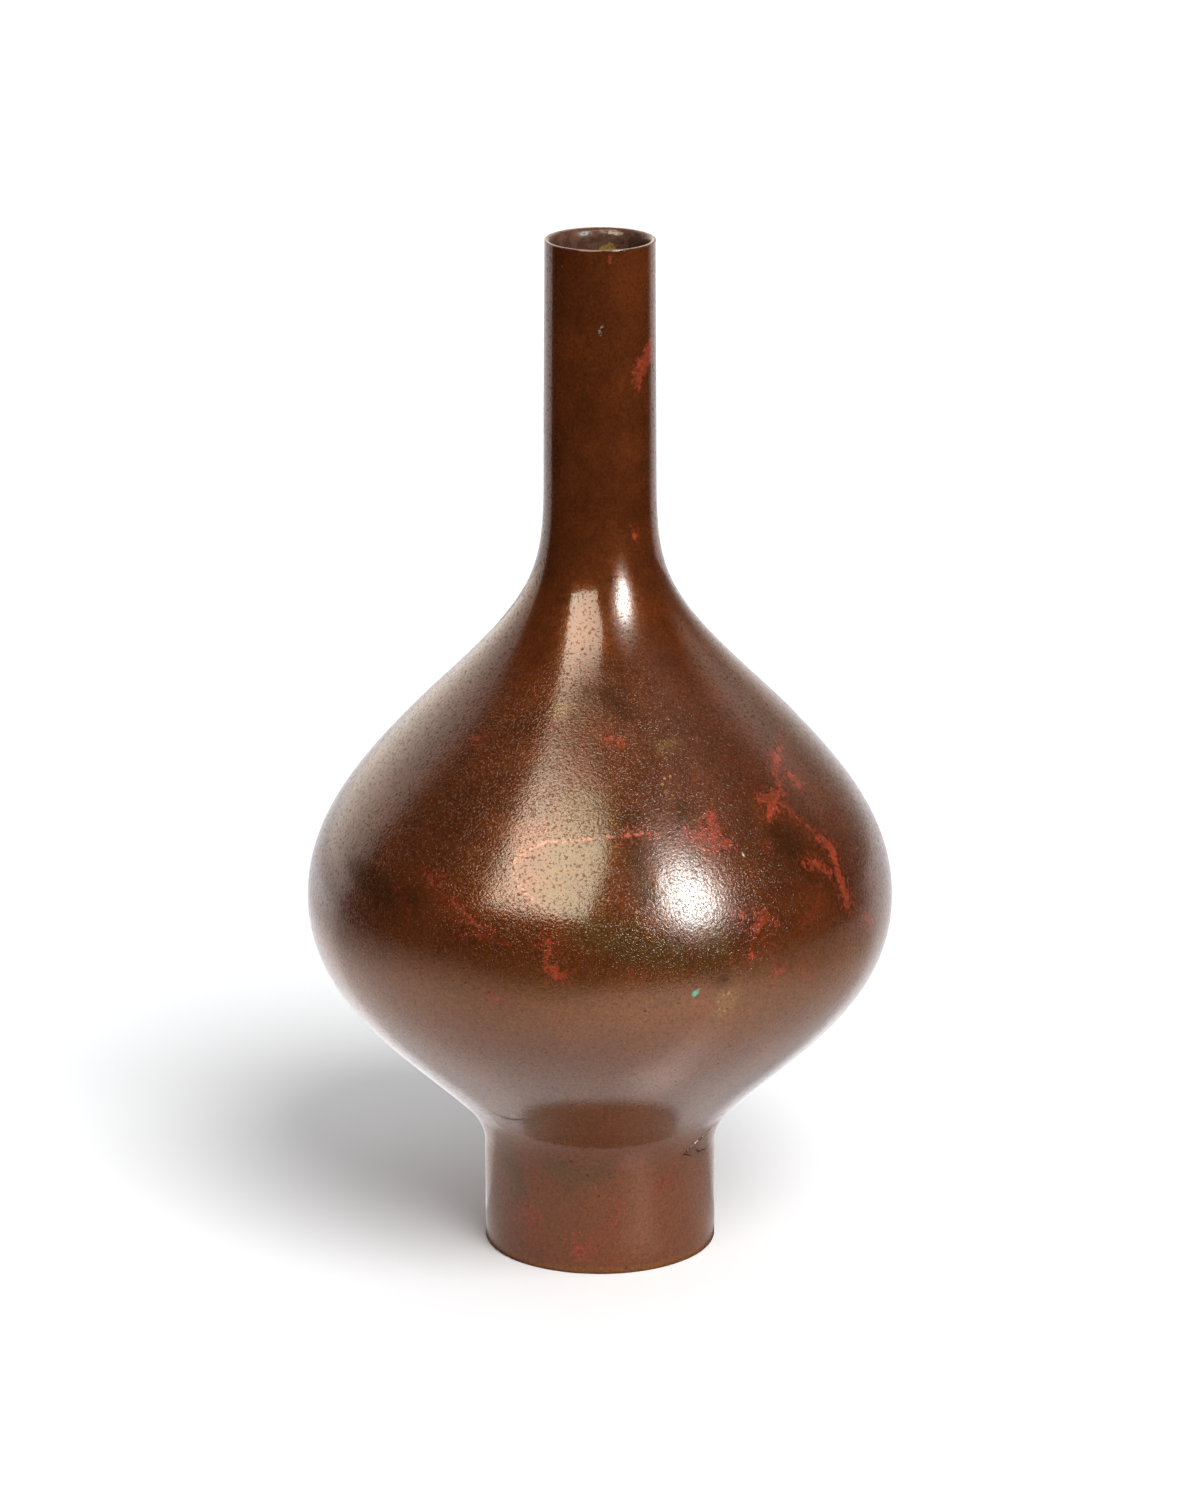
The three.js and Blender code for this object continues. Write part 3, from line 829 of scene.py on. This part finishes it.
def patinaMaterial(name, settings):
    material, tree = newMaterial(name)
    place = addNode(tree, "ShaderNodeTexCoord").outputs["Object"]
    height = addNode(tree, "ShaderNodeSeparateXYZ", {0: place}).outputs["Z"]
    # the node makers, bound to this tree
    operations = ("MULTIPLY", "ADD", "SUBTRACT", "MAXIMUM")
    times, plus, minus, most = (partial(calc, tree, operation) for operation in operations)
    blend, ramp, spots = partial(blendColour, tree), partial(fade, tree), partial(noise, tree, place)

    def depth(field):
        return addNode(tree, "ShaderNodeAttribute", attribute_name=field).outputs["Fac"]

    def ragged(field, amount, low, high, rag):
        return ramp(plus(depth(field), times(rag, amount)), low, high)

    def paint(colour, share, strength, tone):
        return blend(times(share, strength), colour, settings[tone])

    def zone(name, start=0.0, end=1.0):
        return ramp(height, *zones[name], start, end)

    broad = spots(blotch["cloud"], 4, 0.6)
    middle = spots(blotch["mottle"], 4, 0.6, 0.2)
    small = spots(blotch["small"], 5, 0.62, 0.3)
    crust = spots(blotch["crust"], 4, 0.7, 0.6)
    speck = spots(blotch["speck"], 2, 0.6)
    rag = minus(small, 0.5)
    fineRag = plus(times(rag, 0.6), minus(crust, 0.5))
    mottle = plus(times(broad, 0.55), times(middle, 0.45))
    colour = blend(ramp(mottle, 0.34, 0.64), settings["dark"], settings["chestnut"])
    rusty = ramp(spots(blotch["russet"], 4, 0.55), 0.46, 0.72)
    colour = paint(colour, rusty, 0.6, "russet")
    # the lower bowl is rubbed to a lighter tan
    rubbed = times(times(zone("tanTop"), zone("tanFoot", 0.5)), ramp(crust, 0.25, 0.75, 0.75, 1.0))
    colour = paint(colour, rubbed, 0.66, "tan")
    colour = paint(colour, zone("foot"), 0.8, "footBrown")
    colour = paint(colour, ragged("olive", 9.0, -4.5, 3.0, rag), 0.62, "olive")
    # dark patches, and painted shade on the left of the belly and along the foot's cracks
    darkPatchesAndShade = ragged("dark", 8.0, -3.5, 3.5, rag)
    colour = paint(colour, darkPatchesAndShade, 0.7, "shade")
    colour = paint(colour, ragged("gold", 7.0, -2.0, 2.5, rag), 0.34, "gold")
    # the neck is painted a little lighter: painted light that the lamps don't give it
    colour = blend(1.0, colour, zone("neck", 1.0, 1.05), "MULTIPLY")
    # the foot's bottom edge is painted a lighter tan: wear, and a painted reflection of the light on its
    # rounded edge
    colour = paint(colour, zone("edge"), 0.5, "tan")
    # red crust: a thin stain, with brighter ridges where it is thick
    stain = times(ragged("faintRed", 7.0, -1.4, 2.6, rag), ramp(crust, 0.4, 0.62, 0.25, 1.0))
    colour = paint(colour, stain, 0.6, "brick")
    # flecks and threads of the same red lie round the crust
    nearFaint = ramp(depth("faintRed"), -2.0, 1.5, 0.0, 0.4)
    near = most(ramp(depth("red"), -4.5, 0.5), nearFaint)
    flecks = ramp(plus(crust, times(near, 0.14)), 0.66, 0.71)
    threadNoise = spots(blotch["thread"], 3, 0.6, 0.8)
    threads = ramp(calc(tree, "ABSOLUTE", minus(threadNoise, 0.5)), 0.02, 0.004)
    threads = times(threads, ramp(crust, 0.44, 0.56))
    strewn = times(most(flecks, threads), ramp(near, 0.1, 0.5))
    colour = paint(colour, times(strewn, zone("fleckTop")), 0.6, "vermilion")
    redShare = times(ragged("red", 5.0, -0.5, 0.9, fineRag), ramp(crust, 0.32, 0.5, 0.5, 1.0))
    colour = paint(colour, redShare, 0.75, "brick")
    ridge = ramp(calc(tree, "ABSOLUTE", rag), 0.055, 0.0)
    ridge = most(ridge, ramp(middle, 0.52, 0.62))
    colour = paint(colour, times(redShare, ridge), 0.8, "vermilion")
    colour = paint(colour, ragged("pink", 2.2, -0.35, 0.35, fineRag), 0.55, "pink")
    colour = paint(colour, ragged("green", 3.0, -0.3, 0.35, rag), 1.0, "green")
    # dots of braze round the core plugs
    for angle in plugs["dots"]:
        out, way = plugs["hole"] * plugs["dotsOut"], radians(angle)
        across = minus(depth("aside"), out * cos(way))
        up = minus(depth("above"), out * sin(way))
        away = plus(lengthOf(tree, across, up), times(rag, 1.2))
        dot = ramp(away, plugs["dotWidth"] + 0.15, plugs["dotWidth"] - 0.2)
        colour = paint(colour, dot, 0.6, "orange")
    paleShare = ragged("pale", 2.5, -0.2, 0.2, rag)
    colour = paint(colour, paleShare, 0.8, "pale")
    colour = blend(1.0, colour, ramp(speck, 0.25, 0.75, 0.76, 1.24), "MULTIPLY")
    inside = depth("inside")
    colour = paint(colour, inside, 1.0, "inside")
    colour = paint(colour, times(inside, ramp(small, 0.42, 0.6)), 0.5, "sootAndShade")
    colour = paint(colour, times(inside, ragged("innerGold", 9.0, -0.6, 0.5, fineRag)), 0.8, "gilt")
    # painted highlight: the pale band inside the back of the lip where the softbox's glint falls
    colour = paint(colour, ragged("innerPaintedGlint", 1.6, -0.2, 0.2, rag), 0.7, "pale")
    # the pits, cracks and dents are painted dark: painted shade in the hollows
    colour = paint(colour, times(depth("hollow"), minus(1.0, inside)), 0.85, "sootAndShade")
    # the belly has a coarse skin, the neck, the foot and the smooth patch a finer one
    skin = ramp(times(zone("skinTop"), zone("skinFoot", 0.45)), 0.0, 1.0, 0.2, 1.0)
    patch = ramp(plus(depth("island"), times(rag, 1.2)), -0.6, 0.8)
    skin = times(skin, ramp(patch, 0.0, 1.0, 1.0, 0.45))
    peel = spots(grain["peel"], 2, 0.55)
    dimples = ramp(spots(grain["dimple"], 1, 0.5), 0.56, 0.7)
    fine = spots(grain["fine"], 1, 0.5)
    coarse = minus(peel, times(dimples, 0.5))
    bumps = plus(times(coarse, skin), times(fine, 0.1))
    bumps = minus(bumps, times(paleShare, 0.8))
    normal = bumpNormal(tree, bumps, grain["stands"])
    rough = ramp(small, 0.3, 0.7, settings["roughness"] - 0.04, settings["roughness"] + 0.06)
    rough = plus(rough, times(plus(redShare, inside), 0.12))
    # pinholes in the wax, dull in the reflections
    pinholes = ramp(spots(grain["pinhole"], 1, 0.5), 0.43, 0.35, 0.0, 0.7)
    pocks = ramp(spots(grain["pock"], 1, 0.5), 0.28, 0.23)
    pocks = most(times(pinholes, zone("pinholes", 1.0, 0.35)), pocks)
    colour = paint(colour, pocks, 0.6, "sootAndShade")
    wax = times(minus(1.0, pocks), ramp(darkPatchesAndShade, 0.0, 1.0, 1.0, 0.45))
    sunken = most(inside, depth("hollow"))
    wax = times(times(wax, ramp(sunken, 0.0, 1.0, 1.0, 0.4)), zone("footWax", 1.0, 0.65))
    bare = minus(1.0, most(redShare, inside))
    shader = addNode(tree, "ShaderNodeBsdfPrincipled", {
        "Base Color": colour, "Metallic": times(bare, settings["metal"]), "Roughness": rough,
        "Normal": normal, "Coat Normal": normal, "Coat Weight": wax,
        "Specular IOR Level": settings["sheenLevel"], "Specular Tint": settings["sheenTint"],
        "Coat Roughness": settings["coatRoughness"], "Coat IOR": settings["coatIor"],
    })
    addNode(tree, "ShaderNodeOutputMaterial", {"Surface": shader.outputs[0]})
    return material


castPatina = patinaMaterial("patinated bronze", patina)
brazePatina = patinaMaterial("patinated braze", {**patina, "chestnut": (0.110, 0.0250, 0.0061, 1)})
plugPatina = patinaMaterial("patinated plug", {**patina, "chestnut": (0.106, 0.0238, 0.0058, 1)})


def finishPiece(piece, node, material, marked=True):
    if marked:
        addMarks(piece)
    smooth(piece)
    piece.data.materials.clear()
    piece.data.materials.append(material)
    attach(piece, "root")
    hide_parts(node)


# neck, with its lip and the spigot that goes into the body
neck = {"outerRounding": 0.3, "innerRounding": (1.7, 3.4), "spacing": 0.75, "boreSeen": 10, "boreHidden": 18,
        "dents": [(-21, 288.7, 0.7, 0.18), (0, 276.3, 0.9, 0.22), (2, 277.4, 0.5, 0.12),
                  (-19, 277.8, 0.5, 0.12), (-42, 294.6, 0.4, 0.12)]}
lipOut, (lipIn, lipDeep) = neck["outerRounding"], neck["innerRounding"]
neckBore = form["lipRadius"] - form["neckWall"]
boreBelow = form["neckRootRadius"] - form["neckWall"]
spigotRadius = boreBelow + form["neckWall"] / 2
neckOutside = outlineRun(neckSeat, lipTop - lipOut, neck["spacing"])
boreHeights = [*np.linspace(lipTop - lipDeep - 0.6, lipTop - neck["boreSeen"], 10),
               *np.linspace(lipTop - neck["boreHidden"], neckSeat, 12)]
neckOutline = [
    *neckOutside,
    *rounding((form["lipRadius"] - lipOut, lipTop - lipOut), lipOut, 12, 90),
    *[(neckBore + lipIn * (1 + cos(a)), lipTop - lipDeep * (1 - sin(a)))
      for a in np.radians(np.linspace(90, 180, 13))],
    *[(np.interp(h, [neckSeat, lipTop], [boreBelow, neckBore]), h) for h in boreHeights],
    (boreBelow, spigotBottom),
    (spigotRadius, spigotBottom),
    (spigotRadius, neckSeat),
]
neckTube = turnedPiece("neckTube", neckOutline, shaped=len(neckOutside))
cutWith(neckTube, ballCutter("dents", neck["dents"]))
finishPiece(neckTube, "neck_tube", castPatina)
print("neck turned")

# body, with the holes of its core supports and a few casting pits
body = {"spacing": 1.05, "insideSpacing": 7.0, "spigotGap": 0.3, "clearance": 0.15,
        "pits": [(-10, 187.8, 0.45, 0.5), (-16, 181.6, 0.4, 0.45), (-8, 201.9, 0.35, 0.4),
                 (-30, 64.6, 0.45, 0.5), (-21.4, 102.4, 0.3, 0.3), (19, 149, 0.3, 0.3),
                 (150, 120, 0.4, 0.4), (205, 175, 0.4, 0.4)]}
castWall = form["castWall"]
collarBottom = spigotBottom - body["spigotGap"]
bodyOutside = outlineRun(bodyBottom, neckRoot, body["spacing"])
bodyInside = outlineRun(bodyBottom + 3, collarBottom, body["insideSpacing"], castWall)
bodyOutline = [
    *bodyOutside,
    (spigotRadius + body["clearance"], neckRoot),
    (spigotRadius + body["clearance"], collarBottom),
    *bodyInside[::-1],
    (bodyInside[0][0], bodyBottom),
]


def plugRod(name, bearing, height, radius, inner=7.0, outer=4.0, turns=40):
    place, outward, sideways, upward = surfaceFrame(bearing, height)
    points = []
    for end in (-inner, outer):
        for k in range(turns):
            a = 2 * pi * k / turns
            points.append(place + outward * end + radius * (sideways * cos(a) + upward * sin(a)))
    faces = [(k, k + turns, (k + 1) % turns + turns, (k + 1) % turns) for k in range(turns)]
    faces += [tuple(range(turns)), tuple(range(2 * turns - 1, turns - 1, -1))]
    return newPiece(name, points, faces)


bodyShell = turnedPiece("bodyShell", bodyOutline, shaped=len(bodyOutside))
for node, (bearing, height) in plugPlaces.items():
    plug = bodyShell.copy()
    plug.data = bodyShell.data.copy()
    plug.name = node.title().replace("_", "")
    scene.collection.objects.link(plug)
    cutWith(plug, plugRod("rod", bearing, height, plugs["radius"]), "INTERSECT")
    finishPiece(plug, node, plugPatina)
for node, (bearing, height) in plugPlaces.items():
    cutWith(bodyShell, plugRod("rod", bearing, height, plugs["hole"]))
cutWith(bodyShell, ballCutter("pits", body["pits"]))
finishPiece(bodyShell, "body_shell", castPatina)
print("body turned, plugs filed flush")

# foot, with the cracks that its casting shows: each is a path, a half width, a depth and a seed
foot = {"bevel": 0.6, "ledgeWidth": 1.8, "ledgeThickness": 2.5, "centringRise": 2.0, "clearance": 0.15,
        "cracks": [([(-38, 51.6), (-36, 50.4), (-32, 50.3), (-29, 51.0), (-26, 52.0)], 0.34, 0.6, 3),
                   ([(64, 41.0), (60, 39.6), (57, 38.0), (52, 36.6), (47, 34.8), (45, 33.8), (50, 32.4),
                     (54, 31.5)], 0.32, 0.6, 4),
                   ([(67, 31.2), (61, 32.2), (57, 32.4), (53, 34.4)], 0.28, 0.5, 5)],
        "pits": [(-14, 35.1, 0.45, 0.45), (-6, 30.6, 0.4, 0.4), (170, 25, 0.4, 0.4)]}
bevel = foot["bevel"]
footBore = form["footRadius"] - castWall
footOutside = [(form["footRadius"], h) for h in np.linspace(bevel, form["footUpright"], 34, endpoint=False)]
footOutside += outlineRun(form["footUpright"], footJoint, 0.8)
footInside = outlineRun(plateTop + foot["ledgeThickness"] + 2, footJoint, 2.5, castWall)
centring = (footInside[-1][0] + bodyInside[0][0]) / 2
footOutline = [
    *footOutside,
    (centring, footJoint),
    (centring, footJoint + foot["centringRise"]),
    (footInside[-1][0], footJoint + foot["centringRise"]),
    *footInside[::-1],
    (footBore, plateTop + foot["ledgeThickness"]),
    (footBore - foot["ledgeWidth"], plateTop + foot["ledgeThickness"]),
    (footBore - foot["ledgeWidth"], plateTop),
    (footBore, plateTop),
    *[(footBore, h) for h in np.linspace(plateTop - 1, bevel, 6)],
    *rounding((footBore + bevel, bevel), bevel, 195, 270, 5),
    *rounding((form["footRadius"] - bevel, bevel), bevel, -90, -15, 5),
]
flaredFoot = turnedPiece("flaredFoot", footOutline, shaped=len(footOutside))
for crack in foot["cracks"]:
    cutWith(flaredFoot, crackCutter("crack", *crack))
cutWith(flaredFoot, ballCutter("pits", foot["pits"]))
finishPiece(flaredFoot, "flared_foot", castPatina)
print("foot turned")


# braze rings between the castings, filed flush outside
def brazeRing(name, node, inner, low, high):
    outside = outlineRun(low, high, 0.15)
    ring = turnedPiece(name, [*outside, (inner, high), (inner, low)], shaped=len(outside))
    finishPiece(ring, node, brazePatina)


brazeRing("neckBraze", "neck_braze_ring", spigotRadius + body["clearance"], neckRoot, neckSeat)
brazeRing("footBraze", "foot_braze_ring", centring + foot["clearance"], footJoint, bodyBottom)
print("braze rings laid")

# base plate, let in from below and filed round and round, with the braze that holds it
base = {"clearance": 0.2, "filletLeg": 1.6, "bevel": 0.25, "fileStep": 0.55, "fileDepth": 0.045, "seed": 21,
        "centreMark": [0.9, 0.45], "colour": (0.105, 0.050, 0.022, 1), "worn": (0.21, 0.125, 0.062, 1),
        "metal": 0.45, "roughness": 0.42, "wax": 0.15, "waxRoughness": 0.3,
        "strokeWidth": 0.28 * mm, "strokeWander": 2 * mm, "wearWidth": 11 * mm}


def baseMaterial(name, settings, filed):
    material, tree = newMaterial(name)
    place = addNode(tree, "ShaderNodeTexCoord").outputs["Object"]
    axes = addNode(tree, "ShaderNodeSeparateXYZ", {0: place}).outputs
    flat = addNode(tree, "ShaderNodeCombineXYZ", {"X": axes["X"], "Y": axes["Y"]}).outputs[0]
    out = addNode(tree, "ShaderNodeVectorMath", {0: flat}, operation="LENGTH").outputs["Value"]
    wear = noise(tree, place, settings["wearWidth"], 5, 0.62, 0.3)
    speckle = noise(tree, place, blotch["speck"], 3, 0.6)
    colour = blendColour(tree, fade(tree, wear, 0.42, 0.68), settings["colour"], settings["worn"])
    colour = blendColour(tree, 1.0, colour, fade(tree, speckle, 0.25, 0.75, 0.78, 1.2), "MULTIPLY")
    wander = multiply(tree, wear, settings["strokeWander"])
    strokes = addNode(tree, "ShaderNodeCombineXYZ", {"X": out, "Y": wander}).outputs[0]
    lines = noise(tree, strokes, settings["strokeWidth"], 2, 0.6)
    lines = multiply(tree, lines, 0.6 if filed else 0.0)
    bumps = add(tree, lines, multiply(tree, speckle, 0.5))
    normal = bumpNormal(tree, bumps, grain["stands"])
    rough = fade(tree, wear, 0.3, 0.7, settings["roughness"] + 0.08, settings["roughness"] - 0.06)
    shader = addNode(tree, "ShaderNodeBsdfPrincipled", {
        "Base Color": colour, "Metallic": settings["metal"], "Roughness": rough, "Normal": normal,
        "Coat Weight": settings["wax"], "Coat Roughness": settings["waxRoughness"],
    })
    addNode(tree, "ShaderNodeOutputMaterial", {"Surface": shader.outputs[0]})
    return material


def makeBasePlate(base):
    random = np.random.default_rng(base["seed"])
    rim, bevel = footBore - base["clearance"], base["bevel"]
    markRadius, markDepth = base["centreMark"]
    below = [(0.0, plateLow + markDepth), (markRadius, plateLow)]
    for out in np.arange(markRadius + base["fileStep"], rim - bevel, base["fileStep"]):
        below.append((out, plateLow + base["fileDepth"] * random.uniform(0.0, 1.0)))
    outline = [*below, (rim - bevel, plateLow), (rim, plateLow + bevel), (rim, plateTop - bevel),
               (rim - bevel, plateTop), (rim * 0.5, plateTop), (0.0, plateTop)]
    plate = turnedPiece("basePlate", outline)
    shape = bmesh.new()
    shape.from_mesh(plate.data)
    middle = [face for face in shape.faces if all(hypot(v.co.x, v.co.y) < 1e-7 for v in face.verts)]
    bmesh.ops.delete(shape, geom=middle, context="FACES_ONLY")
    bmesh.ops.remove_doubles(shape, verts=shape.verts, dist=1e-6)
    shape.to_mesh(plate.data)
    shape.free()
    finishPiece(plate, "base_plate", baseMaterial("filed base bronze", base, True), False)


def makeBaseFillet(base):
    leg, low = base["filletLeg"], plateLow - base["filletLeg"]
    hollow = rounding((footBore - leg, low), leg, 88, 2, 9)
    corner = [(footBore, low), (footBore, plateLow), (footBore - leg, plateLow)]
    fillet = turnedPiece("baseFillet", corner + hollow)
    finishPiece(fillet, "base_braze_fillet", baseMaterial("base braze", base, False), False)


makeBasePlate(base)
makeBaseFillet(base)
print("base plate let in")
